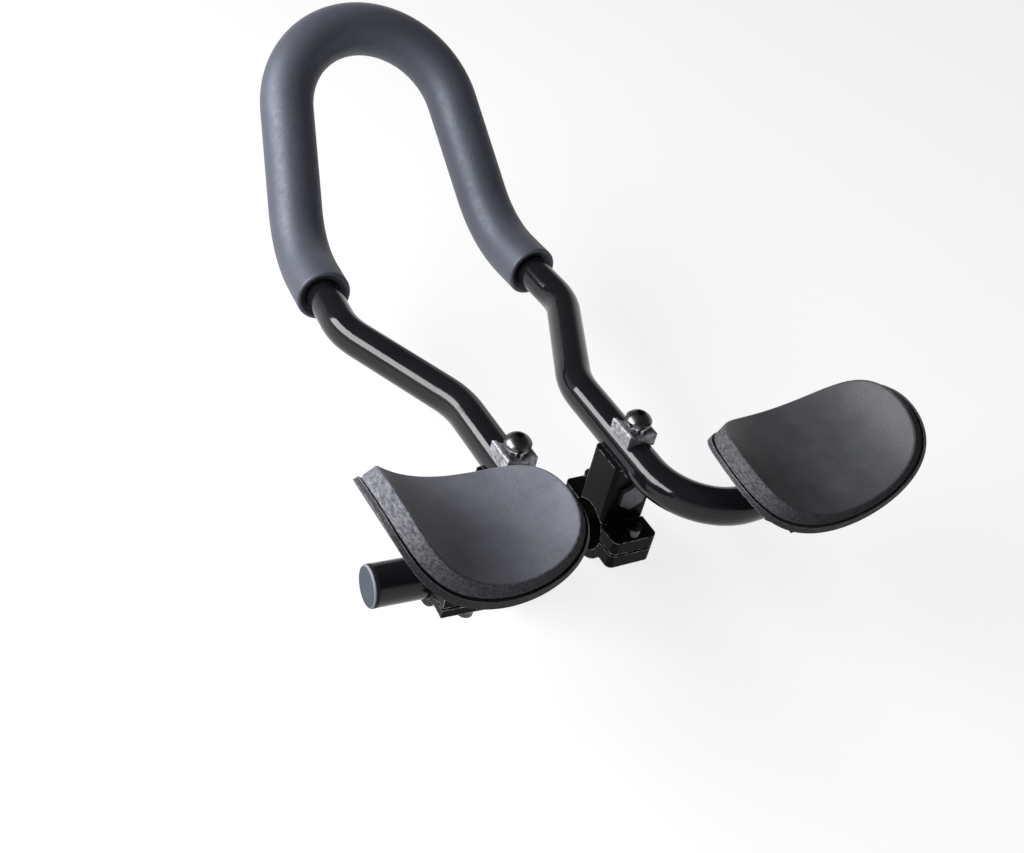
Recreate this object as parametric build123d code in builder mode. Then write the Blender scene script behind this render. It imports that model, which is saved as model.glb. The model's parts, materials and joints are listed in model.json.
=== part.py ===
from build123d import *
import os
from math import acos, atan2, cos, hypot, radians, sin, sqrt, tan

# Aero handlebar extension: one bent tube whose loop wears a foam grip, two handlebar clamps and two armrests.
# X runs to the rider's right along the handlebar axis, Y forward and Z up.
# The origin is on the handlebar axis, midway between the two clamps. Millimetres and degrees.

# Tube
bar_diameter = 31.8  # handlebar that the clamps hold
tube_diameter = 22.2
tube_wall = 2.0
tube_rise = 55.0  # tube axis above the handlebar axis
arm_offset = 40.0  # each arm out from the middle
rear_setback = 63.0  # rear corners behind the handlebar axis
rear_bend_radius = 40.0
rear_sweep = 3.5  # the rear runs lean forward towards their ends
tube_end_out = 148.0
flare_forward = 64.0  # where the arms bend outwards
flare_bend_radius = 52.0
shoulder_out = 78.5  # where they bend back
shoulder_forward = 146.0
shoulder_bend_radius = 46.0
loop_foot_out = 73.0  # where the loop turns up
loop_foot_forward = 235.0
loop_foot_bend_radius = 72.0
loop_tilt = 43.5
loop_height = 150.0  # loop foot to loop top, in the loop's own plane
loop_radius = 62.0

# Foam grip and end plugs
foam_diameter = 35.0
foam_overrun = 51.5  # foam goes on behind the loop's foot
foam_end_rounding = 1.5
plug_cap_thickness = 3.0
plug_cap_rounding = 1.2
plug_stem_length = 14.0

# Clearances
fit_clearance = 0.1  # clamps on tubes, screws in their threads
soft_clearance = 0.3  # foam and pads off what carries them
hole_clearance = 0.4  # screws in plain holes

# Handlebar clamps
clamp_ear = 4.0  # wall beside the tube
clamp_split = 1.5
ear_drop = 3.0  # top of the cradle below the tube axis
riser_depth = 26.0
riser_corner = 3.0
flange_reach = 30.0
flange_thickness = 9.0
flange_corner = 4.0
flange_root = 1.5
clamp_bolt_reach = 24.0
lower_wall = 5.5
clamp_bolt_diameter = 6.0
clamp_bolt_head_diameter = 10.0
clamp_bolt_head_height = 6.0

# Tube bolts and what they clamp
saddle_width = 19.0
saddle_length = 19.0
saddle_lead = 1.25  # its middle in front of the bolt
saddle_height = 9.0
saddle_thickness = 2.1  # between the tube and the collar
saddle_wing = 4.0  # sides above the collar's foot
saddle_edge = 0.6
collar_foot_radius = 9.0  # barrel in a hollow along the saddle
collar_diameter = 11.0
collar_height = 6.5
washer_diameter = 14.0
washer_thickness = 1.2
tube_bolt_diameter = 8.0
tube_bolt_head_diameter = 15.6
tube_bolt_head_height = 6.2
tube_bolt_skirt = 2.2  # straight rim below the dome
tube_bolt_dome_slope = 60.0  # of the dome where it leaves the rim
tube_bolt_crown = 6.0  # flat on top of the dome
tube_bolt_thread = 13.0  # length held in the riser
thread_runout = 2.0  # bored past the screw's end
lock_screw_drop = 24.0  # below the tube axis
lock_screw_flats = 16.0
lock_screw_head = 3.0
lock_screw_diameter = 6.0
lock_screw_length = 8.0

# Armrests, each set by hand on its run of tube
armrest_reach_left = 104.5
armrest_reach_right = 116.0
armrest_tilt_left = -1.2
armrest_tilt_right = 4.8
armrest_roll = 13.5  # outer sides raised
armrest_toe = 5.0  # fronts turned outwards
pad_height = 31.5  # lowest line of the pad above the tube axis
pad_setback = 3.0
pad_width = 103.0  # between the rims
pad_length = 80.5
pad_thickness = 10.0
trough_radius = 65.5
tray_thickness = 4.5  # along the lowest line
tray_taper = 5.0  # its underside's axis below the trough's, which thins the rims
tray_margin = 0.8
boss_step = 0.5
boss_depth = 28.0
bracket_length = 32.0
bracket_depth = 48.0
bracket_flange = 8.0
bracket_shoulder = 30.0  # depth of the bracket under the tray
strap_flange = 5.0
strap_wall = 4.0
armrest_bolt_reach = 18.5
armrest_bolt_diameter = 5.0
armrest_bolt_head_diameter = 8.5
armrest_bolt_head_height = 5.0
armrest_bolt_thread = 7.5
tray_screw_spacing = 16.0
tray_screw_diameter = 5.0
tray_screw_head_diameter = 9.5
tray_screw_thread = 6.0

# Derived values
tube_radius = tube_diameter / 2
tube_seat_radius = tube_radius + fit_clearance
bar_bore_radius = bar_diameter / 2 + fit_clearance
clamp_width = 2 * (tube_seat_radius + clamp_ear)
foam_end_forward = loop_foot_forward - foam_overrun
saddle_floor = tube_rise + tube_radius + saddle_thickness
saddle_top = saddle_floor + saddle_wing
tube_bolt_seat = saddle_floor + collar_height + washer_thickness
tube_bolt_end = tube_rise - tube_radius - tube_bolt_thread
sides = {"left": -1, "right": 1}
armrest_reach = {"left": armrest_reach_left, "right": armrest_reach_right}
armrest_tilt = {"left": armrest_tilt_left, "right": armrest_tilt_right}
rim_level = trough_radius - sqrt(trough_radius**2 - (pad_width / 2) ** 2)
seat_radius = trough_radius + pad_thickness + soft_clearance
boss_level = -(pad_thickness + soft_clearance + tray_thickness + boss_step)
tray_screw_cone = (tray_screw_head_diameter - tray_screw_diameter) / 2


def rear_run_y(out):
    """Y of a rear run's axis at a distance out from the middle."""
    return -rear_setback + (out - arm_offset) * tan(radians(rear_sweep))


def shoulder_run_x(forward):
    """X of the right arm's axis between the shoulder and the loop's foot."""
    share = (forward - shoulder_forward) / (loop_foot_forward - shoulder_forward)
    return shoulder_out + share * (loop_foot_out - shoulder_out)


def mirrored(points):
    """The same points on the left, in the opposite order."""
    return [(-x, y, z) for x, y, z in reversed(points)]


def save(builder, node):
    """Labels a finished piece and writes it."""
    builder.part.label = node
    export_step(builder.part, f"parts/{node}.step")


def cap_screws(seats, diameter, head_diameter, head_height, length):
    """Socket screws, one for each seat plane, whose normal points out of the head."""
    socket_radius = 0.5 * diameter
    with BuildPart() as screws:
        for seat in seats:
            with BuildSketch(seat):
                Circle(head_diameter / 2)
            extrude(amount=head_height)
            with BuildSketch(seat):
                Circle(diameter / 2)
            extrude(amount=-length)
            with BuildSketch(seat.offset(head_height)):
                RegularPolygon(socket_radius, 6)
            extrude(amount=-head_height / 2, mode=Mode.SUBTRACT)
    return screws


# Axis of the tube: the loop's legs lean in to meet its top arc
leg_run = loop_height - loop_radius
leg_lean = acos(loop_radius / hypot(loop_foot_out, leg_run)) - atan2(leg_run, loop_foot_out)
apex_reach = loop_foot_out / tan(leg_lean)
loop_apex = (
    0,
    loop_foot_forward + apex_reach * cos(radians(loop_tilt)),
    tube_rise + apex_reach * sin(radians(loop_tilt)),
)
loop_foot = (loop_foot_out, loop_foot_forward, tube_rise)
right_corners = [
    (tube_end_out, rear_run_y(tube_end_out), tube_rise),
    (arm_offset, -rear_setback, tube_rise),
    (arm_offset, flare_forward, tube_rise),
    (shoulder_out, shoulder_forward, tube_rise),
    loop_foot,
]
bend_radii = [rear_bend_radius, flare_bend_radius, shoulder_bend_radius, loop_foot_bend_radius]
foam_corners = [(shoulder_run_x(foam_end_forward), foam_end_forward, tube_rise), loop_foot]
os.makedirs("parts", exist_ok=True)

# Main tube
with BuildLine() as tube_line:
    FilletPolyline(
        *right_corners,
        loop_apex,
        *mirrored(right_corners),
        radius=[*bend_radii, loop_radius, *reversed(bend_radii)],
    )
tube_path = tube_line.wire()
with BuildPart() as main_tube:
    with BuildSketch(Plane(origin=tube_path @ 0, z_dir=tube_path % 0)):
        Circle(tube_radius)
        Circle(tube_radius - tube_wall, mode=Mode.SUBTRACT)
    sweep(path=tube_path)
    with Locations((-arm_offset, 0, tube_rise), (arm_offset, 0, tube_rise)):
        Cylinder(tube_bolt_diameter / 2 + hole_clearance, 2 * tube_diameter, mode=Mode.SUBTRACT)
save(main_tube, "main_tube")

# Foam grip
with BuildLine() as foam_line:
    FilletPolyline(
        *foam_corners,
        loop_apex,
        *mirrored(foam_corners),
        radius=[loop_foot_bend_radius, loop_radius, loop_foot_bend_radius],
    )
foam_path = foam_line.wire()
with BuildPart() as foam_grip:
    with BuildSketch(Plane(origin=foam_path @ 0, z_dir=foam_path % 0)):
        Circle(foam_diameter / 2)
        Circle(tube_radius + soft_clearance, mode=Mode.SUBTRACT)
    sweep(path=foam_path)
    foam_rims = foam_grip.edges().filter_by(GeomType.CIRCLE).group_by(Axis.Y)[0]
    fillet(foam_rims.group_by(SortBy.RADIUS)[-1], foam_end_rounding)
save(foam_grip, "foam_grip")


def end_plug(side):
    """Plug in a tube end: a cap as wide as the tube and a stem inside it."""
    lean = radians(rear_sweep)
    mouth = Plane(
        origin=(side * tube_end_out, rear_run_y(tube_end_out), tube_rise),
        z_dir=(side * cos(lean), sin(lean), 0),
    )
    with BuildPart() as plug:
        with BuildSketch(mouth):
            Circle(tube_radius)
        extrude(amount=plug_cap_thickness)
        fillet(plug.faces().sort_by(Axis.X)[-1 if side > 0 else 0].edges(), plug_cap_rounding)
        with BuildSketch(mouth):
            Circle(tube_radius - tube_wall - fit_clearance)
        extrude(amount=-plug_stem_length)
    return plug


def bar_clamp_upper(side):
    """Riser block: a cradle for the tube on top and half of the handlebar's bore below."""
    middle = side * arm_offset
    base = clamp_split / 2
    with BuildPart() as block:
        with BuildSketch(Plane.XY.offset(base)):
            with Locations((middle, 0)):
                RectangleRounded(clamp_width, 2 * flange_reach, flange_corner)
        extrude(amount=flange_thickness)
        with BuildSketch(Plane.XY.offset(base)):
            with Locations((middle, 0)):
                RectangleRounded(clamp_width, riser_depth, riser_corner)
        extrude(amount=tube_rise - ear_drop - base)
        with BuildSketch(Plane.YZ.offset(middle)) as web:
            with Locations((0, base)):
                Rectangle(2 * clamp_bolt_reach, flange_thickness, align=(Align.CENTER, Align.MIN))
                Rectangle(riser_depth, tube_rise / 2, align=(Align.CENTER, Align.MIN))
            fillet(web.vertices().group_by(Axis.Y)[1].sort_by(Axis.X)[1:3], flange_root)
        extrude(amount=clamp_width / 2 - riser_corner, both=True)
        with Locations((middle, 0, 0)):
            Cylinder(bar_bore_radius, 2 * clamp_width, rotation=(0, 90, 0), mode=Mode.SUBTRACT)
        with Locations((middle, 0, tube_rise)):
            Cylinder(tube_seat_radius, 2 * riser_depth, rotation=(90, 0, 0), mode=Mode.SUBTRACT)
        with Locations((middle, -clamp_bolt_reach, 0), (middle, clamp_bolt_reach, 0)):
            Cylinder(
                clamp_bolt_diameter / 2 + hole_clearance, 4 * flange_thickness, mode=Mode.SUBTRACT
            )
        with Locations((middle, 0, tube_bolt_end - thread_runout)):
            Cylinder(
                tube_bolt_diameter / 2 + fit_clearance,
                tube_rise,
                align=(Align.CENTER, Align.CENTER, Align.MIN),
                mode=Mode.SUBTRACT,
            )
        with BuildSketch(lock_screw_plane(side)):
            Circle(lock_screw_diameter / 2 + fit_clearance)
        extrude(amount=-lock_screw_length - thread_runout, mode=Mode.SUBTRACT)
    return block


def lock_screw_plane(side):
    """Plane on a riser's rear face where its lock screw sits, facing backwards."""
    return Plane(
        origin=(side * arm_offset, -riser_depth / 2, tube_rise - lock_screw_drop),
        x_dir=(1, 0, 0),
        z_dir=(0, -1, 0),
    )


def lock_screw(side):
    """Screw with a flat hexagonal head in a riser's rear face."""
    seat = lock_screw_plane(side)
    with BuildPart() as screw:
        with BuildSketch(seat):
            RegularPolygon(lock_screw_flats / 2, 6, major_radius=False, rotation=30)
        extrude(amount=lock_screw_head)
        with BuildSketch(seat):
            Circle(lock_screw_diameter / 2)
        extrude(amount=-lock_screw_length)
    return screw


def bar_clamp_lower(side):
    """Lower half of a handlebar clamp, tapped for the two clamp bolts."""
    middle = side * arm_offset
    top = -clamp_split / 2
    with BuildPart() as cap:
        with BuildSketch(Plane.XY.offset(top)):
            with Locations((middle, 0)):
                RectangleRounded(clamp_width, 2 * flange_reach, flange_corner)
        extrude(amount=-flange_thickness)
        with Locations((middle, 0, 0)):
            Cylinder(bar_bore_radius + lower_wall, clamp_width, rotation=(0, 90, 0))
            Cylinder(bar_bore_radius, 2 * clamp_width, rotation=(0, 90, 0), mode=Mode.SUBTRACT)
        split(bisect_by=Plane.XY.offset(top), keep=Keep.BOTTOM)
        with Locations((middle, -clamp_bolt_reach, 0), (middle, clamp_bolt_reach, 0)):
            Cylinder(
                clamp_bolt_diameter / 2 + fit_clearance, 4 * flange_thickness, mode=Mode.SUBTRACT
            )
    return cap


def bar_clamp_bolts(side):
    """Front and rear screws of a handlebar clamp."""
    seat_level = clamp_split / 2 + flange_thickness
    seats = [
        Plane((side * arm_offset, end * clamp_bolt_reach, seat_level)) for end in (-1, 1)
    ]
    length = 2 * flange_thickness + clamp_split
    return cap_screws(
        seats, clamp_bolt_diameter, clamp_bolt_head_diameter, clamp_bolt_head_height, length
    )


def tube_saddle(side):
    """Saddle with a hollow below for the tube and one above for the collar."""
    middle = side * arm_offset
    with BuildPart() as saddle:
        with BuildSketch(Plane.XY.offset(saddle_top)):
            with Locations((middle, saddle_lead)):
                Rectangle(saddle_width, saddle_length)
        extrude(amount=-saddle_height)
        chamfer(saddle.faces().sort_by(Axis.Z)[-1].edges(), saddle_edge)
        with Locations((middle, 0, tube_rise)):
            Cylinder(tube_seat_radius, 2 * saddle_length, rotation=(90, 0, 0), mode=Mode.SUBTRACT)
            Cylinder(tube_bolt_diameter / 2 + hole_clearance, 4 * tube_diameter, mode=Mode.SUBTRACT)
        with Locations((middle, 0, saddle_floor + collar_foot_radius)):
            Cylinder(collar_foot_radius, 2 * saddle_length, rotation=(90, 0, 0), mode=Mode.SUBTRACT)
    return saddle


def bolt_ring(side, level, diameter, height):
    """Ring round a tube bolt, standing on a level."""
    with BuildPart() as ring:
        with BuildSketch(Plane.XY.offset(level)):
            with Locations((side * arm_offset, 0)):
                Circle(diameter / 2)
                Circle(tube_bolt_diameter / 2 + hole_clearance, mode=Mode.SUBTRACT)
        extrude(amount=height)
    return ring


def tube_bolt_collar(side):
    """Collar under a tube bolt's washer, its foot a barrel that fits the saddle's hollow."""
    ring = bolt_ring(side, saddle_floor, collar_diameter, collar_height)
    with BuildPart() as collar:
        add(ring.part)
        with Locations((side * arm_offset, 0, saddle_floor + collar_foot_radius)):
            Cylinder(
                collar_foot_radius - fit_clearance,
                2 * collar_diameter,
                rotation=(90, 0, 0),
                mode=Mode.INTERSECT,
            )
    return collar


def tube_bolt_washer(side):
    """Flat washer under a tube bolt's head."""
    return bolt_ring(side, saddle_floor + collar_height, washer_diameter, washer_thickness)


def tube_bolt(side):
    """Domed bolt with a hex socket, through saddle and tube into the riser."""
    middle = side * arm_offset
    head_top = tube_bolt_seat + tube_bolt_head_height
    rim = tube_bolt_head_diameter / 2
    crown = tube_bolt_crown / 2
    slope = radians(tube_bolt_dome_slope)
    shank = tube_bolt_diameter / 2
    skirt_top = (middle + rim, tube_bolt_seat + tube_bolt_skirt)
    with BuildPart() as bolt:
        with BuildSketch(Plane.XZ):
            with BuildLine():
                Polyline(
                    (middle, head_top),
                    (middle, tube_bolt_end),
                    (middle + shank, tube_bolt_end),
                    (middle + shank, tube_bolt_seat),
                    (middle + rim, tube_bolt_seat),
                    skirt_top,
                )
                TangentArc(skirt_top, (middle + crown, head_top), tangent=(-cos(slope), sin(slope)))
                Line((middle + crown, head_top), (middle, head_top))
            make_face()
        revolve(axis=Axis((middle, 0, 0), (0, 0, 1)))
        with BuildSketch(Plane.XY.offset(head_top)):
            with Locations((middle, 0)):
                RegularPolygon(crown - hole_clearance, 6)
        extrude(amount=-tube_bolt_head_height / 2, mode=Mode.SUBTRACT)
    return bolt


def armrest_clamp_plane(name):
    """Plane on the axis of a rear run: X along the run, Y forward, tilted as the armrest is set."""
    side = sides[name]
    lean = radians(rear_sweep)
    flat = Plane(
        origin=(side * armrest_reach[name], rear_run_y(armrest_reach[name]), tube_rise),
        x_dir=(cos(lean), side * sin(lean), 0),
        z_dir=(0, 0, 1),
    )
    return Plane(flat * Rotation(armrest_tilt[name], 0, 0))


def armrest_seat_plane(name):
    """Plane at the lowest line of the pad's top, rolled so that the outer side is raised."""
    lowest = armrest_clamp_plane(name) * Pos(0, -pad_setback, pad_height)
    return Plane(lowest * Rotation(0, -sides[name] * armrest_roll, 0))


def armrest_tray_plane(name):
    """The seat plane with its front turned outwards, as the tray and the pad are."""
    return Plane(armrest_seat_plane(name).location * Rotation(0, 0, -sides[name] * armrest_toe))


def across(plane):
    """Plane whose normal is the given plane's X, for sections across a rear run."""
    return Plane(origin=plane.origin, x_dir=plane.y_dir, z_dir=plane.x_dir)


def trough_disc(plane, radius, drop=0):
    """A disc round the trough's axis or a drop below it, in a section across the forearm."""
    section = Plane(origin=plane.origin, x_dir=plane.x_dir, z_dir=-plane.y_dir)
    with BuildSketch(section) as disc:
        with Locations((0, trough_radius - drop)):
            Circle(radius)
    return disc.sketch


def wall_outline(plane, level, grow):
    """Oval where the armrest's walls cut a flat level, larger by grow: they point at the trough's axis."""
    spread = (trough_radius - level) / (trough_radius - rim_level)
    with BuildSketch(plane.offset(level)) as outline:
        Ellipse(spread * (pad_width / 2 + grow), pad_length / 2 + grow)
    return outline.sketch


def bent_block(plane, grow, radius, drop=0):
    """Oval block out to a radius from an axis a drop below the trough's, its outline larger by grow."""
    over = wall_outline(plane, rim_level + pad_thickness, grow)
    under = wall_outline(plane, boss_level, grow)
    disc = trough_disc(plane, radius, drop)
    with BuildPart() as block:
        loft([over, under], ruled=True)
        extrude(disc, amount=pad_width, both=True, mode=Mode.INTERSECT)
    return block.part


def armrest_pad(name):
    """Foam pad: a shallow trough for the forearm."""
    plane = armrest_tray_plane(name)
    block = bent_block(plane, 0, trough_radius + pad_thickness)
    hollow = trough_disc(plane, trough_radius)
    with BuildPart() as pad:
        add(block)
        extrude(hollow, amount=pad_width, both=True, mode=Mode.SUBTRACT)
    return pad


def tray_screw_planes(name):
    """Planes on the tops of the two tray screws, in front of and behind the tube axis."""
    plane = armrest_seat_plane(name)
    depth = pad_thickness + soft_clearance + fit_clearance
    reaches = [pad_setback + end * tray_screw_spacing / 2 for end in (-1, 1)]
    return [Plane(plane * Pos(0, reach, -depth)) for reach in reaches]


def armrest_tray(name):
    """Moulded tray under the pad, with a flat boss for the bracket."""
    plane = armrest_tray_plane(name)
    block = bent_block(plane, tray_margin, seat_radius + tray_thickness - tray_taper, tray_taper)
    hollow = trough_disc(plane, seat_radius)
    with BuildPart() as tray:
        add(block)
        extrude(hollow, amount=pad_width, both=True, mode=Mode.SUBTRACT)
        with BuildSketch(armrest_seat_plane(name).offset(boss_level)):
            with Locations((0, pad_setback)):
                Rectangle(bracket_length, boss_depth)
        extrude(amount=boss_step + tray_thickness - fit_clearance)
        for top in tray_screw_planes(name):
            with BuildSketch(top):
                Circle(tray_screw_head_diameter / 2 + hole_clearance)
            extrude(amount=pad_thickness, mode=Mode.SUBTRACT)
            with BuildSketch(top):
                Circle(tray_screw_head_diameter / 2 + hole_clearance)
            with BuildSketch(top.offset(-tray_screw_cone)):
                Circle(tray_screw_diameter / 2 + hole_clearance)
            loft(mode=Mode.SUBTRACT)
            with BuildSketch(top):
                Circle(tray_screw_diameter / 2 + hole_clearance)
            extrude(amount=2 * boss_level, mode=Mode.SUBTRACT)
    return tray


def armrest_screws(name):
    """Countersunk screws that hold a tray on its bracket."""
    head_to_boss = -boss_level - pad_thickness - soft_clearance - fit_clearance
    with BuildPart() as screws:
        for top in tray_screw_planes(name):
            with BuildSketch(top):
                Circle(tray_screw_head_diameter / 2)
            with BuildSketch(top.offset(-tray_screw_cone)):
                Circle(tray_screw_diameter / 2)
            loft()
            with BuildSketch(top.offset(-tray_screw_cone)):
                Circle(tray_screw_diameter / 2)
            extrude(amount=tray_screw_cone - head_to_boss - tray_screw_thread)
            with BuildSketch(top):
                RegularPolygon(tray_screw_diameter / 3, 6)
            extrude(amount=-tray_screw_cone, mode=Mode.SUBTRACT)
    return screws


def armrest_bracket(name):
    """Upper half of an armrest clamp, its top cut to the tray's roll and tapped through to the tube."""
    clamp = armrest_clamp_plane(name)
    boss = armrest_seat_plane(name).offset(boss_level)
    base = clamp_split / 2
    foot = bracket_depth / 2
    shoulder = bracket_shoulder / 2
    top = pad_height + bracket_length
    waist = base + bracket_flange
    level = pad_height + boss_level
    with BuildPart() as bracket:
        with BuildSketch(across(clamp)):
            Polygon(
                (-foot, base),
                (foot, base),
                (foot, waist),
                (shoulder, level),
                (shoulder, top),
                (-shoulder, top),
                (-shoulder, level),
                (-foot, waist),
                align=None,
            )
        extrude(amount=bracket_length / 2, both=True)
        split(bisect_by=boss, keep=Keep.BOTTOM)
        with BuildSketch(across(clamp)):
            Circle(tube_seat_radius)
        extrude(amount=bracket_length, both=True, mode=Mode.SUBTRACT)
        with BuildSketch(clamp.offset(base)):
            with Locations((0, -armrest_bolt_reach), (0, armrest_bolt_reach)):
                Circle(armrest_bolt_diameter / 2 + fit_clearance)
        extrude(amount=armrest_bolt_thread + thread_runout, mode=Mode.SUBTRACT)
        for screw in tray_screw_planes(name):
            with BuildSketch(screw):
                Circle(tray_screw_diameter / 2 + fit_clearance)
            extrude(amount=pad_thickness - pad_height, mode=Mode.SUBTRACT)
    return bracket


def armrest_strap(name):
    """Lower half of an armrest clamp."""
    clamp = armrest_clamp_plane(name)
    top = -clamp_split / 2
    with BuildPart() as strap:
        with BuildSketch(across(clamp)):
            with Locations((0, top)):
                Rectangle(bracket_depth, strap_flange, align=(Align.CENTER, Align.MAX))
            Circle(tube_seat_radius + strap_wall)
            Circle(tube_seat_radius, mode=Mode.SUBTRACT)
        extrude(amount=bracket_length / 2, both=True)
        split(bisect_by=clamp.offset(top), keep=Keep.BOTTOM)
        with BuildSketch(clamp):
            with Locations((0, -armrest_bolt_reach), (0, armrest_bolt_reach)):
                Circle(armrest_bolt_diameter / 2 + hole_clearance)
        extrude(amount=-2 * tube_diameter, mode=Mode.SUBTRACT)
    return strap


def armrest_bolts(name):
    """Front and rear screws of an armrest clamp, put in from below."""
    clamp = armrest_clamp_plane(name)
    depth = clamp_split / 2 + strap_flange
    seats = [
        Plane(clamp * Pos(0, end * armrest_bolt_reach, -depth) * Rotation(180, 0, 0))
        for end in (-1, 1)
    ]
    length = strap_flange + clamp_split + armrest_bolt_thread
    return cap_screws(
        seats,
        armrest_bolt_diameter,
        armrest_bolt_head_diameter,
        armrest_bolt_head_height,
        length,
    )


for name, side in sides.items():
    save(end_plug(side), f"end_plug_{name}")
    save(bar_clamp_upper(side), f"bar_clamp_upper_{name}")
    save(bar_clamp_lower(side), f"bar_clamp_lower_{name}")
    save(bar_clamp_bolts(side), f"bar_clamp_bolts_{name}")
    save(lock_screw(side), f"lock_screw_{name}")
    save(tube_saddle(side), f"tube_saddle_{name}")
    save(tube_bolt_collar(side), f"tube_bolt_collar_{name}")
    save(tube_bolt_washer(side), f"tube_bolt_washer_{name}")
    save(tube_bolt(side), f"tube_bolt_{name}")
    save(armrest_bracket(name), f"armrest_bracket_{name}")
    save(armrest_strap(name), f"armrest_strap_{name}")
    save(armrest_bolts(name), f"armrest_bolts_{name}")
    save(armrest_tray(name), f"armrest_tray_{name}")
    save(armrest_screws(name), f"armrest_screws_{name}")
    save(armrest_pad(name), f"armrest_pad_{name}")
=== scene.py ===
import json
from math import atan, ceil, cos, pi, radians, sin, sqrt, tan

import bpy
from mathutils import Matrix, Vector


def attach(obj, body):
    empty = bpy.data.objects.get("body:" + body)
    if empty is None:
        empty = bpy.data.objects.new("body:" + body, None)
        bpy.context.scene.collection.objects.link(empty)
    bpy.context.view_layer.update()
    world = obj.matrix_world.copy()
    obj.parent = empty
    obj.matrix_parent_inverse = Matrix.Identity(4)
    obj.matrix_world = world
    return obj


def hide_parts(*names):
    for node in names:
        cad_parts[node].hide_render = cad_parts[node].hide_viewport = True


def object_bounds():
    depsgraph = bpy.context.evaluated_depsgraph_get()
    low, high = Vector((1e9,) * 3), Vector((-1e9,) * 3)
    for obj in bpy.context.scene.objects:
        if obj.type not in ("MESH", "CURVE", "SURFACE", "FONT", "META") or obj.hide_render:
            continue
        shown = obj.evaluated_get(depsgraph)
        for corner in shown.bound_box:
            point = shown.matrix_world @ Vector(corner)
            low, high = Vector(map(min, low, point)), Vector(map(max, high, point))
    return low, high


# Looks of the aero handlebar extension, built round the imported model. Metres, in the part's own frame:
# X to the rider's right along the handlebar axis, Y forward, Z up.

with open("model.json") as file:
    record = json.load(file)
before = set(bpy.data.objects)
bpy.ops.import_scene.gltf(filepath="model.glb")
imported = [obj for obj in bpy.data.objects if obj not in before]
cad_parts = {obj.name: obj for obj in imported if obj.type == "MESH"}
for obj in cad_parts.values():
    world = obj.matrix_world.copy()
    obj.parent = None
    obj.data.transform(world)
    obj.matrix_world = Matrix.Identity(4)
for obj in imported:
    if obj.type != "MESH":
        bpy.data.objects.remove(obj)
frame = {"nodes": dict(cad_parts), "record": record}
cad_low, cad_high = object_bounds()
nodes = frame["nodes"]
sides = {"left": -1, "right": 1}

# Camera, as the photograph was taken
camera_place = Vector((-0.3885, -0.4542, 0.5208))
camera_view = Vector((0.4792, 0.6367, -0.6042))
camera_up = Vector((0.157, 0.6151, 0.7727))
camera_lens = 46.98
camera_sensor = 36.0
camera_clip = 0.01

# Studio
key_aim = Vector((0, 0.1, 0.06))
key_direction = Vector((-0.84, 0.17, 0.48))
key_distance = 1.2
key_size = (1.4, 0.54)
key_power = 31
wall_light = 0.85
ceiling_light = 0.10
wall_top = (0.1, 0.5)  # sines of the heights between which the walls give way to the ceiling
wall_share = 0.20  # of the room's light that falls on matt surfaces
floor_colour = (0.22, 0.22, 0.22, 1)
floor_glow = 0.83  # to the camera and in reflections
floor_reach = 8.0

# Axis of the tube, as the solids have it
tube_rise = 0.055
arm_offset = 0.040
rear_setback = 0.063
rear_sweep = radians(3.5)
tube_end_out = 0.148
plug_cap = 0.003
shoulder = Vector((0.0785, 0.146, tube_rise))
loop_foot = Vector((0.073, 0.235, tube_rise))
loop_tilt = radians(43.5)
loop_height = 0.150
loop_radius = 0.062
loop_foot_bend = 0.072

# Foam sleeve
foam_overrun = 0.0515
foam_end = loop_foot.lerp(shoulder, foam_overrun / (loop_foot.y - shoulder.y))
foam_radius = 0.0175
foam_bore = 0.0114
foam_lip = 0.0016
foam_dish = 0.0025
foam_step = 0.002
foam_segments = 96
foam_bore_rings = 60
foam_dish_rings = 6

# Armrest pads
armrest_reach = {"left": 0.1045, "right": 0.116}
armrest_tilt = {"left": radians(-1.2), "right": radians(4.8)}
armrest_roll = radians(13.5)
armrest_toe = radians(5.0)
pad_height = 0.0315
pad_setback = 0.003
pad_half_width = 0.0515
pad_half_length = 0.04025
pad_thickness = 0.010
trough_radius = 0.0655
pad_edge = 0.0011
pad_foot = 0.0024
pad_crown = 0.0005
pad_segments = 192
pad_rings = 48
pad_wall_rings = 8
pad_base_rings = 12

# Bevels on the hard pieces
bevel_angle = radians(40)
bevel_segments = 2
bevel_width = {
    "bar_clamp": 0.0006,
    "armrest_bracket": 0.0006,
    "armrest_strap": 0.0005,
    "armrest_tray": 0.0012,
    "lock_screw": 0.0003,
}

# Where the finishes change
edge_cosines = (0.995, 0.90)  # between a face's normal and the rounded one, from flat to sharp
painted_light_reach = 0.05  # to either side of the middle, over which the painted light on the left pad ends
polish_heights = (0.045, 0.060)  # from the dull lock screws up to the bright washers


def rear_run_y(out):
    """Y of a rear run's axis at a distance out from the middle."""
    return (out - arm_offset) * tan(rear_sweep) - rear_setback


def path_points(corners, radii, step):
    """Points along straight runs joined by arcs, at most a step apart on the arcs."""
    points = [corners[0]]
    for before, corner, after, radius in zip(corners, corners[1:], corners[2:], radii):
        back = (before - corner).normalized()
        ahead = (after - corner).normalized()
        turn = pi - back.angle(ahead)
        start = corner + back * radius * tan(turn / 2)
        middle = corner + (back + ahead).normalized() * radius / cos(turn / 2)
        axis = ahead.cross(back).normalized()
        count = ceil(radius * turn / step)
        for index in range(count + 1):
            points.append(middle + Matrix.Rotation(turn * index / count, 3, axis) @ (start - middle))
    points.append(corners[-1])
    return points


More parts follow.
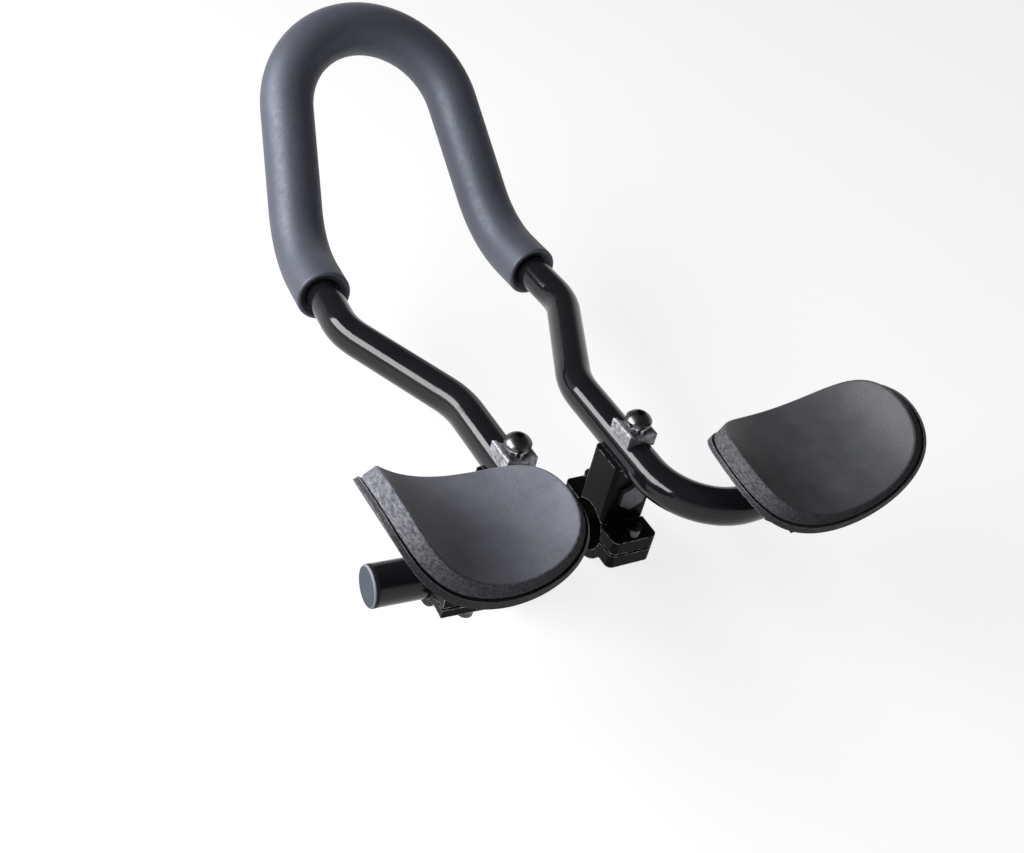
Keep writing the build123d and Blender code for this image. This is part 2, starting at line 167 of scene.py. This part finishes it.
class Path:
    """A line with a frame at any length along it."""

    def __init__(self, points):
        self.points = points
        self.lengths = [0.0]
        self.across = []
        for here, there in zip(points, points[1:]):
            self.lengths.append(self.lengths[-1] + (there - here).length)
        side = Vector((0, 0, 1))
        for index in range(len(points)):
            along = self.direction(index)
            side = (side - along * side.dot(along)).normalized()
            self.across.append(side)

    def direction(self, index):
        """Unit vector along the line at one of its points."""
        first = max(index - 1, 0)
        last = min(index + 1, len(self.points) - 1)
        return (self.points[last] - self.points[first]).normalized()

    def ring(self, length, radius, count):
        """Points of a circle round the line at a length along it."""
        index = 0
        while index < len(self.points) - 2 and self.lengths[index + 1] < length:
            index += 1
        span = self.lengths[index + 1] - self.lengths[index]
        share = (length - self.lengths[index]) / span
        middle = self.points[index].lerp(self.points[index + 1], share)
        along = self.direction(index).lerp(self.direction(index + 1), share).normalized()
        side = self.across[index].lerp(self.across[index + 1], share)
        side = (side - along * side.dot(along)).normalized()
        other = along.cross(side)
        angles = [2 * pi * step / count for step in range(count)]
        return [middle + radius * (cos(angle) * side + sin(angle) * other) for angle in angles]


def mesh_from_rings(name, rings, joined):
    """A smooth mesh through rings of points: joined end to end, or closed by a point at each end."""
    count = len(rings[0])
    points = [point for ring in rings for point in ring]
    faces = []
    pairs = list(zip(range(len(rings)), range(1, len(rings))))
    if joined:
        pairs.append((len(rings) - 1, 0))
    for low, high in pairs:
        first = low * count
        second = high * count
        for step in range(count):
            after = (step + 1) % count
            faces.append((first + step, first + after, second + after, second + step))
    if not joined:
        for ring, start, flip in ((rings[0], 0, False), (rings[-1], (len(rings) - 1) * count, True)):
            points.append(sum(ring, Vector()) / count)
            for step in range(count):
                corner = (start + step, start + (step + 1) % count)
                faces.append((len(points) - 1, *(corner if flip else reversed(corner))))
    mesh = bpy.data.meshes.new(name)
    mesh.from_pydata(points, [], faces)
    mesh.update()
    mesh.shade_smooth()
    piece = bpy.data.objects.new(name, mesh)
    bpy.context.scene.collection.objects.link(piece)
    return piece


def point_mask(piece, name, levels, count):
    """A value between 0 and 1 on each point: one level for each ring, then 0 and 1 for the end points."""
    mask = piece.data.attributes.new(name, "FLOAT", "POINT")
    values = [level for level in levels for _ in range(count)]
    if len(values) < len(piece.data.vertices):
        values += [0.0, 1.0]
    mask.data.foreach_set("value", values)


def even_steps(start, end, count=6):
    """Evenly spaced values from start to end, both included."""
    return [start + (end - start) * index / count for index in range(count + 1)]


def foam_sleeve():
    """Foam sleeve on the loop, with rounded lips and slightly dished ends."""
    leg_run = loop_height - loop_radius
    diagonal = sqrt(loop_foot.x**2 + leg_run**2)
    tangent_run = sqrt(diagonal**2 - loop_radius**2)
    leg_lean = pi / 2 - atan(leg_run / loop_foot.x) - atan(loop_radius / tangent_run)
    reach = loop_foot.x / tan(leg_lean)
    apex = Vector((0, loop_foot.y + reach * cos(loop_tilt), tube_rise + reach * sin(loop_tilt)))
    flip = Vector((-1, 1, 1))
    corners = [foam_end, loop_foot, apex, loop_foot * flip, foam_end * flip]
    path = Path(path_points(corners, [loop_foot_bend, loop_radius, loop_foot_bend], foam_step))
    total = path.lengths[-1]
    lip = [
        (foam_lip * (1 - sin(angle)), foam_radius - foam_lip * (1 - cos(angle)))
        for angle in even_steps(pi / 2, 0)
    ]
    face_edge = foam_radius - foam_lip
    dish = [
        (foam_dish * (1 - cos(share * pi)) / 2, face_edge + (foam_bore - face_edge) * share)
        for share in even_steps(1, 1 / foam_dish_rings, foam_dish_rings - 1)
    ]
    start = dish + lip
    cut = len(dish)
    body_count = ceil((total - 2 * foam_lip) / foam_step)
    body = [(length, foam_radius) for length in even_steps(foam_lip, total - foam_lip, body_count)]
    end = [(total - length, radius) for length, radius in reversed(start)]
    bore_start = 3 * foam_dish
    bore_lengths = even_steps(total - bore_start, bore_start, foam_bore_rings)
    bore = [(length, foam_bore) for length in bore_lengths]
    profile = start + body[1:-1] + end + bore
    rings = [path.ring(length, radius, foam_segments) for length, radius in profile]
    piece = mesh_from_rings("foam_sleeve", rings, joined=True)
    # Mask of the dished ends and the bore, which the foam finish paints near black: partly the darker raw
    # cut foam, partly painted shade in the hollow ends
    skin = range(cut, len(profile) - len(bore) - cut)
    levels = [0.0 if index in skin else 1.0 for index in range(len(profile))]
    point_mask(piece, "cut", levels, foam_segments)
    return piece


def armrest_frame(name):
    """Place of a pad: its origin at the lowest line of the trough, X across the forearm, Y along it."""
    side = sides[name]
    out = armrest_reach[name]
    place = Vector((side * out, rear_run_y(out), tube_rise))
    clamp = (
        Matrix.Translation(place)
        @ Matrix.Rotation(side * rear_sweep, 4, "Z")
        @ Matrix.Rotation(armrest_tilt[name], 4, "X")
    )
    seat = clamp @ Matrix.Translation((0, -pad_setback, pad_height))
    rolled = seat @ Matrix.Rotation(-side * armrest_roll, 4, "Y")
    return rolled @ Matrix.Rotation(-side * armrest_toe, 4, "Z")


def pad_ring(place, inset, depth, share):
    """An oval of points in the pad: inset from its wall, at a depth under its top, shrunk to a share."""
    rim_angle = atan(pad_half_width / sqrt(trough_radius**2 - pad_half_width**2))
    slope = tan(rim_angle - inset / trough_radius)
    radius = trough_radius + depth
    ring = []
    for step in range(pad_segments):
        angle = 2 * pi * step / pad_segments
        across = atan(slope * share * cos(angle))
        along = (pad_half_length - inset) * share * sin(angle)
        ring.append(place @ Vector((radius * sin(across), along, trough_radius - radius * cos(across))))
    return ring


def armrest_pad(name):
    """Moulded foam pad: a trough with a soft crown, rounded rim and rounded foot."""
    place = armrest_frame(name)
    rings = []
    walls = []
    for index in range(1, pad_rings + 1):
        share = index / pad_rings
        rings.append(pad_ring(place, pad_edge, -pad_crown * (1 - share**4), share))
        walls.append(0.0)
    for angle in even_steps(0, pi / 2)[1:]:
        rings.append(pad_ring(place, pad_edge * (1 - sin(angle)), pad_edge * (1 - cos(angle)), 1))
        walls.append(sin(angle))
    for depth in even_steps(pad_edge, pad_thickness - pad_foot, pad_wall_rings)[1:]:
        rings.append(pad_ring(place, 0, depth, 1))
        walls.append(1.0)
    for angle in even_steps(0, pi / 2)[1:]:
        depth = pad_thickness - pad_foot * (1 - sin(angle))
        rings.append(pad_ring(place, pad_foot * (1 - cos(angle)), depth, 1))
        walls.append(1.0)
    for share in even_steps(1, 1 / pad_base_rings, pad_base_rings - 1)[1:]:
        rings.append(pad_ring(place, pad_foot, pad_thickness, share))
        walls.append(1.0)
    piece = mesh_from_rings(f"forearm_pad_{name}", rings, joined=False)
    point_mask(piece, "wall", walls, pad_segments)
    return piece


class Finish:
    """A material round one Principled shader, with short ways to add texture nodes.

    Constants go by the names of the shader's sockets, with underscores for spaces.
    """

    def __init__(self, name, **constants):
        self.material = bpy.data.materials.new(name)
        self.material.use_nodes = True
        self.tree = self.material.node_tree
        self.shader = self.tree.nodes["Principled BSDF"]
        self.place = self.add("ShaderNodeTexCoord").outputs["Object"]
        for socket, value in constants.items():
            self.shader.inputs[socket.replace("_", " ")].default_value = value

    def add(self, kind, **settings):
        node = self.tree.nodes.new(kind)
        for setting, value in settings.items():
            setattr(node, setting, value)
        return node

    def link(self, source, target):
        self.tree.links.new(source, target)

    def noise(self, size, detail=2.0, roughness=0.5, stretch=None):
        """Noise whose features are about that many metres across."""
        node = self.add("ShaderNodeTexNoise")
        node.inputs["Scale"].default_value = 1 / size
        node.inputs["Detail"].default_value = detail
        node.inputs["Roughness"].default_value = roughness
        self.link(self.stretched(stretch), node.inputs["Vector"])
        return node.outputs["Fac"]

    def cells(self, size, feature="F1"):
        """Distance in a cell pattern whose cells are about that many metres across."""
        node = self.add("ShaderNodeTexVoronoi", feature=feature)
        node.inputs["Scale"].default_value = 1 / size
        self.link(self.place, node.inputs["Vector"])
        return node.outputs["Distance"]

    def stretched(self, stretch):
        if stretch is None:
            return self.place
        node = self.add("ShaderNodeMapping")
        node.inputs["Scale"].default_value = stretch
        self.link(self.place, node.inputs["Vector"])
        return node.outputs["Vector"]

    def along(self, axis):
        """Place along one axis of the part, in metres."""
        node = self.add("ShaderNodeSeparateXYZ")
        self.link(self.place, node.inputs["Vector"])
        return node.outputs[axis]

    def attribute(self, name):
        return self.add("ShaderNodeAttribute", attribute_name=name).outputs["Fac"]

    def edges(self, radius):
        """Where an edge lies within a radius: 0 on flat faces, towards 1 on sharp edges."""
        bevel = self.add("ShaderNodeBevel", samples=6)
        bevel.inputs["Radius"].default_value = radius
        geometry = self.add("ShaderNodeNewGeometry")
        dot = self.add("ShaderNodeVectorMath", operation="DOT_PRODUCT")
        self.link(bevel.outputs["Normal"], dot.inputs[0])
        self.link(geometry.outputs["Normal"], dot.inputs[1])
        return self.span(dot.outputs["Value"], edge_cosines, (0.0, 1.0))

    def span(self, source, have, want):
        """Maps one range of values to another."""
        node = self.add("ShaderNodeMapRange")
        for socket, value in zip(("From Min", "From Max", "To Min", "To Max"), (*have, *want)):
            node.inputs[socket].default_value = value
        self.link(source, node.inputs["Value"])
        return node.outputs["Result"]

    def math(self, operation, *values):
        """Sum, product or other operation on sockets and plain numbers."""
        node = self.add("ShaderNodeMath", operation=operation)
        for socket, value in zip(node.inputs, values):
            if isinstance(value, (int, float)):
                socket.default_value = value
            else:
                self.link(value, socket)
        return node.outputs["Value"]

    def mix(self, factor, first, second):
        """Blend of two colours, each a colour or a socket."""
        node = self.add("ShaderNodeMix", data_type="RGBA")
        self.link(factor, node.inputs["Factor"])
        for socket, colour in ((node.inputs["A"], first), (node.inputs["B"], second)):
            if isinstance(colour, tuple):
                socket.default_value = (*colour, 1.0)
            else:
                self.link(colour, socket)
        return node.outputs["Result"]

    def bump(self, height, depth, under=None):
        """Bump of a height between 0 and 1 times a depth in metres."""
        node = self.add("ShaderNodeBump")
        node.inputs["Distance"].default_value = depth
        self.link(height, node.inputs["Height"])
        if under is not None:
            self.link(under, node.inputs["Normal"])
        return node.outputs["Normal"]

    def set(self, socket, source):
        self.link(source, self.shader.inputs[socket])


def tube_paint():
    """Glossy black paint with a fine orange peel and a few dull patches."""
    paint = Finish("tube_paint", Specular_IOR_Level=0.36)
    patches = paint.noise(0.03, detail=4)
    paint.set("Base Color", paint.mix(patches, (0.005, 0.005, 0.007), (0.010, 0.010, 0.013)))
    paint.set("Roughness", paint.span(patches, (0.35, 0.7), (0.08, 0.15)))
    paint.set("Normal", paint.bump(paint.noise(0.0025), 0.00002))
    return paint.material


def grip_foam():
    """Closed-cell foam: slate grey, with fine pores and a soft sheen."""
    foam = Finish(
        "grip_foam",
        Specular_IOR_Level=0.85,
        Specular_Tint=(0.76, 0.85, 1.0, 1.0),
        Sheen_Weight=0.1,
        Sheen_Roughness=0.5,
    )
    cloud = foam.noise(0.02, detail=3)
    pores = foam.cells(0.0009)
    skin = foam.mix(cloud, (0.036, 0.037, 0.051), (0.058, 0.060, 0.083))
    # Dished ends and bore near black: partly darker cut foam, partly painted shade
    foam.set("Base Color", foam.mix(foam.attribute("cut"), skin, (0.010, 0.010, 0.012)))
    foam.set("Roughness", foam.span(foam.noise(0.004), (0.3, 0.7), (0.47, 0.58)))
    grain = foam.bump(foam.noise(0.0006, detail=3), 0.00008)
    foam.set("Normal", foam.bump(pores, 0.00008, under=grain))
    return foam.material


def pad_foam():
    """Pad skin: a leathery top and coarser, paler walls, with painted light making both lighter on the
    left pad, which sits nearer the key lamp.
    """
    skin = Finish("pad_foam", Sheen_Weight=0.1, Sheen_Roughness=0.45)
    wall = skin.attribute("wall")
    cloud = skin.span(skin.noise(0.016, detail=6, roughness=0.6), (0.3, 0.7), (0, 1))
    leather = skin.cells(0.0010, feature="SMOOTH_F1")
    speckle = skin.noise(0.0012, detail=5, roughness=0.75, stretch=(0.9, 0.35, 1.1))
    # Painted light: 1 on the left pad and 0 on the right, lightening the left pad's top and walls as if
    # it were lit more strongly
    left_pad_painted_light = skin.span(skin.along("X"), (-painted_light_reach, painted_light_reach), (1, 0))
    dark_top = skin.mix(left_pad_painted_light, (0.042, 0.043, 0.050), (0.118, 0.122, 0.148))
    light_top = skin.mix(left_pad_painted_light, (0.066, 0.068, 0.078), (0.160, 0.166, 0.198))
    mottled = skin.mix(cloud, dark_top, light_top)
    top_colour = skin.mix(skin.span(leather, (0.35, 0.75), (0, 0.2)), mottled, (0.03, 0.03, 0.035))
    dark_wall = skin.mix(left_pad_painted_light, (0.040, 0.041, 0.046), (0.070, 0.072, 0.080))
    pale_wall = skin.mix(left_pad_painted_light, (0.16, 0.163, 0.178), (0.30, 0.305, 0.34))
    wall_colour = skin.mix(skin.span(speckle, (0.36, 0.66), (0, 1)), dark_wall, pale_wall)
    skin.set("Base Color", skin.mix(wall, top_colour, wall_colour))
    skin.set("Roughness", skin.span(wall, (0, 1), (0.5, 0.75)))
    skin.set("Specular IOR Level", skin.span(wall, (0, 1), (0.35, 0.06)))
    creases = skin.bump(leather, 0.00007)
    coarse = skin.math("MULTIPLY", speckle, wall)
    skin.set("Normal", skin.bump(coarse, 0.0004, under=creases))
    return skin.material


def tray_plastic():
    """Moulded plastic with a fine pale grain, its edges paler: partly rubbed wear, partly painted
    highlight where the rounded edges catch the light.
    """
    plastic = Finish("tray_plastic", Specular_IOR_Level=0.15)
    pale = (0.30, 0.30, 0.33)
    cloud = plastic.noise(0.012, detail=4)
    grains = plastic.noise(0.0007, detail=3)
    body = plastic.mix(cloud, (0.022, 0.022, 0.026), (0.046, 0.046, 0.054))
    speckled = plastic.mix(plastic.span(grains, (0.5, 0.8), (0, 0.5)), body, pale)
    patchy = plastic.span(plastic.noise(0.004), (0.35, 0.6), (0.2, 0.9))
    # Paler edges: partly rubbed wear, partly painted highlight where the rounded edges catch the light
    wear_and_highlight = plastic.math("MULTIPLY", plastic.edges(0.0008), patchy)
    plastic.set("Base Color", plastic.mix(wear_and_highlight, speckled, pale))
    plastic.set("Roughness", plastic.span(cloud, (0.3, 0.7), (0.38, 0.55)))
    plastic.set("Normal", plastic.bump(grains, 0.0001))
    return plastic.material


def plug_plastic():
    """Slate end plug: a smooth face in a pale ring of painted highlight on its rounded rim, and a dark
    side.
    """
    plastic = Finish("plug_plastic", Specular_IOR_Level=0.12)
    out = plastic.math("MULTIPLY", plastic.math("ABSOLUTE", plastic.along("X")), cos(rear_sweep))
    reach = plastic.math("ADD", out, plastic.math("MULTIPLY", plastic.along("Y"), sin(rear_sweep)))
    mouth = tube_end_out * cos(rear_sweep) + rear_run_y(tube_end_out) * sin(rear_sweep)
    # From 0 at the tube's mouth to 1 on the plug's face
    depth = plastic.span(reach, (mouth, mouth + plug_cap), (0, 1))
    cloud = plastic.noise(0.008, detail=4)
    face = plastic.mix(cloud, (0.036, 0.044, 0.062), (0.055, 0.065, 0.088))
    # Painted highlight: a pale ring on the plug's rounded rim, where the rim would catch the light
    rim_highlight = plastic.span(depth, (0.55, 0.75), (0, 1))
    on_face = plastic.span(depth, (0.965, 0.99), (0, 1))
    side = plastic.mix(rim_highlight, (0.016, 0.016, 0.019), (0.24, 0.25, 0.28))
    plastic.set("Base Color", plastic.mix(on_face, side, face))
    plastic.set("Roughness", plastic.span(cloud, (0.3, 0.7), (0.38, 0.55)))
    plastic.set("Normal", plastic.bump(plastic.noise(0.0008, detail=3), 0.00006))
    return plastic.material


def clamp_paint():
    """Satin black paint over cast alloy: slightly uneven, worn to metal along its edges."""
    paint = Finish("clamp_paint", Specular_IOR_Level=0.06)
    cloud = paint.noise(0.01, detail=4)
    patchy = paint.span(paint.noise(0.003, detail=4), (0.38, 0.58), (0, 0.9))
    wear = paint.math("MULTIPLY", paint.edges(0.0009), patchy)
    body = paint.mix(cloud, (0.003, 0.003, 0.004), (0.007, 0.007, 0.008))
    paint.set("Base Color", paint.mix(wear, body, (0.45, 0.45, 0.47)))
    paint.set("Metallic", wear)
    paint.set("Roughness", paint.span(cloud, (0.3, 0.7), (0.25, 0.42)))
    paint.set("Normal", paint.bump(paint.noise(0.0012, detail=3), 0.00006))
    return paint.material


def metal(name, dark, light, roughness, scratch, tarnish=0.004, shine=1.0):
    """Metal with fine scratches and uneven tarnish; a lower shine makes it look rough cast."""
    steel = Finish(name, Metallic=shine)
    cloud = steel.span(steel.noise(tarnish, detail=4), (0.3, 0.7), (0, 1))
    lines = steel.noise(0.0005, detail=3)
    steel.set("Base Color", steel.mix(cloud, dark, light))
    steel.set("Roughness", steel.span(lines, (0.3, 0.7), roughness))
    steel.set("Normal", steel.bump(lines, scratch))
    return steel.material


def plated_steel():
    """Plated steel: bright round the tube bolts, dull on the lock screws below them."""
    steel = Finish("bright_steel", Metallic=1.0)
    polish = steel.span(steel.along("Z"), polish_heights, (0, 1))
    tarnish = steel.span(steel.noise(0.004, detail=4), (0.3, 0.7), (0, 1))
    dull = steel.mix(tarnish, (0.075, 0.076, 0.085), (0.11, 0.112, 0.125))
    bright = steel.mix(tarnish, (0.52, 0.52, 0.54), (0.72, 0.72, 0.75))
    scratches = steel.noise(0.0005, detail=3)
    steel.set("Base Color", steel.mix(polish, dull, bright))
    steel.set("Roughness", steel.span(polish, (0, 1), (0.45, 0.17)))
    steel.set("Normal", steel.bump(scratches, 0.00001))
    return steel.material


def finishes():
    """Every finish by the name of its material slot."""
    return {
        "tube_paint": tube_paint(),
        "grip_foam": grip_foam(),
        "pad_foam": pad_foam(),
        "plug_plastic": plug_plastic(),
        "tray_plastic": tray_plastic(),
        "clamp_paint": clamp_paint(),
        "black_steel": metal(
            "black_steel",
            dark=(0.04, 0.04, 0.042),
            light=(0.10, 0.10, 0.104),
            roughness=(0.20, 0.34),
            scratch=0.00002,
        ),
        "dark_chrome": metal(
            "dark_chrome",
            dark=(0.08, 0.08, 0.08),
            light=(0.15, 0.15, 0.15),
            roughness=(0.24, 0.34),
            scratch=0.000006,
        ),
        "bright_steel": plated_steel(),
        "bare_alloy": metal(
            "bare_alloy",
            dark=(0.10, 0.10, 0.115),
            light=(0.50, 0.50, 0.54),
            roughness=(0.35, 0.6),
            scratch=0.00012,
            tarnish=0.0022,
            shine=0.5,
        ),
    }


def round_edges(node, width):
    """Small bevels along a solid's sharp edges."""
    bevel = node.modifiers.new("edges", "BEVEL")
    bevel.width = width
    bevel.segments = bevel_segments
    bevel.limit_method = "ANGLE"
    bevel.angle_limit = bevel_angle
    bevel.use_clamp_overlap = True
    bevel.harden_normals = True


def area_light(name, place, aim, size, power):
    """A soft box at a place, facing a point."""
    lamp = bpy.data.lights.new(name, "AREA")
    lamp.shape = "RECTANGLE"
    lamp.size, lamp.size_y = size
    lamp.energy = power
    light = bpy.data.objects.new(name, lamp)
    light.location = place
    light.rotation_euler = (aim - place).to_track_quat("-Z", "Y").to_euler()
    bpy.context.scene.collection.objects.link(light)


def seen_rays(tree):
    """1 for rays that see a surface from the camera, in a reflection or through glass, otherwise 0."""
    rays = tree.nodes.new("ShaderNodeLightPath")
    seen = rays.outputs["Is Camera Ray"]
    for kind in ("Is Glossy Ray", "Is Transmission Ray"):
        either = tree.nodes.new("ShaderNodeMath")
        either.operation = "MAXIMUM"
        tree.links.new(seen, either.inputs[0])
        tree.links.new(rays.outputs[kind], either.inputs[1])
        seen = either.outputs["Value"]
    return seen


def scaled(tree, source, low, high):
    """Maps 0 to 1 onto a range."""
    node = tree.nodes.new("ShaderNodeMapRange")
    node.inputs["To Min"].default_value = low
    node.inputs["To Max"].default_value = high
    tree.links.new(source, node.inputs["Value"])
    return node.outputs["Result"]


def studio_world():
    """Pale walls round the horizon and a dim ceiling, seen at full strength but lighting less."""
    world = bpy.data.worlds.new("studio")
    world.use_nodes = True
    bpy.context.scene.world = world
    tree = world.node_tree
    background = tree.nodes["Background"]
    background.inputs["Color"].default_value = (1, 1, 1, 1)
    direction = tree.nodes.new("ShaderNodeTexCoord")
    split = tree.nodes.new("ShaderNodeSeparateXYZ")
    strength = tree.nodes.new("ShaderNodeMapRange")
    strength.interpolation_type = "SMOOTHSTEP"
    strength.inputs["From Min"].default_value = wall_top[0]
    strength.inputs["From Max"].default_value = wall_top[1]
    strength.inputs["To Min"].default_value = wall_light
    strength.inputs["To Max"].default_value = ceiling_light
    tree.links.new(direction.outputs["Generated"], split.inputs["Vector"])
    tree.links.new(split.outputs["Z"], strength.inputs["Value"])
    level = tree.nodes.new("ShaderNodeMath")
    level.operation = "MULTIPLY"
    tree.links.new(strength.outputs["Result"], level.inputs[0])
    tree.links.new(scaled(tree, seen_rays(tree), wall_share, 1.0), level.inputs[1])
    tree.links.new(level.outputs["Value"], background.inputs["Strength"])


def pale_floor():
    """Plain floor under the part's lowest point, white to the camera and in reflections."""
    level = cad_low.z
    mesh = bpy.data.meshes.new("floor")
    corners = [(-1, -1), (1, -1), (1, 1), (-1, 1)]
    points = [(floor_reach * x, floor_reach * y, level) for x, y in corners]
    mesh.from_pydata(points, [], [(0, 1, 2, 3)])
    floor = bpy.data.objects.new("floor", mesh)
    bpy.context.scene.collection.objects.link(floor)
    white = bpy.data.materials.new("floor_white")
    white.use_nodes = True
    tree = white.node_tree
    shader = tree.nodes["Principled BSDF"]
    shader.inputs["Base Color"].default_value = floor_colour
    shader.inputs["Roughness"].default_value = 1.0
    shader.inputs["Specular IOR Level"].default_value = 0.0
    shader.inputs["Emission Color"].default_value = (1, 1, 1, 1)
    tree.links.new(scaled(tree, seen_rays(tree), 0.0, floor_glow), shader.inputs["Emission Strength"])
    mesh.materials.append(white)


def photo_camera():
    """Camera at the photograph's place and angle."""
    lens = bpy.data.cameras.new("camera")
    lens.lens = camera_lens
    lens.sensor_width = camera_sensor
    lens.sensor_fit = "HORIZONTAL"
    lens.clip_start = camera_clip
    camera = bpy.data.objects.new("camera", lens)
    back = -camera_view.normalized()
    right = camera_up.cross(back).normalized()
    up = back.cross(right)
    turn = Matrix((right, up, back)).transposed().to_4x4()
    camera.matrix_world = Matrix.Translation(camera_place) @ turn
    bpy.context.scene.collection.objects.link(camera)
    bpy.context.scene.camera = camera


# Finishes on the solids, each from its slot in the record
finish_of = finishes()
slot_of = {part["node"]: part["material_slot"] for part in frame["record"]["subparts"]}
for name, node in nodes.items():
    node.data.materials.clear()
    node.data.materials.append(finish_of[slot_of[name]])

# Soft pieces in place of their plain solids
soft = {"foam_grip": foam_sleeve()}
for name in sides:
    soft[f"armrest_pad_{name}"] = armrest_pad(name)
for node, piece in soft.items():
    piece.data.materials.append(finish_of[slot_of[node]])
    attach(piece, "root")
    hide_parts(node)

# Small bevels on the hard pieces
for name, node in nodes.items():
    for prefix, width in bevel_width.items():
        if name.startswith(prefix) and "bolts" not in name:
            round_edges(node, width)

photo_camera()
studio_world()
pale_floor()
key_place = key_aim + key_distance * key_direction.normalized()
area_light("key", key_place, key_aim, key_size, key_power)

bpy.context.scene.view_settings.view_transform = "Standard"
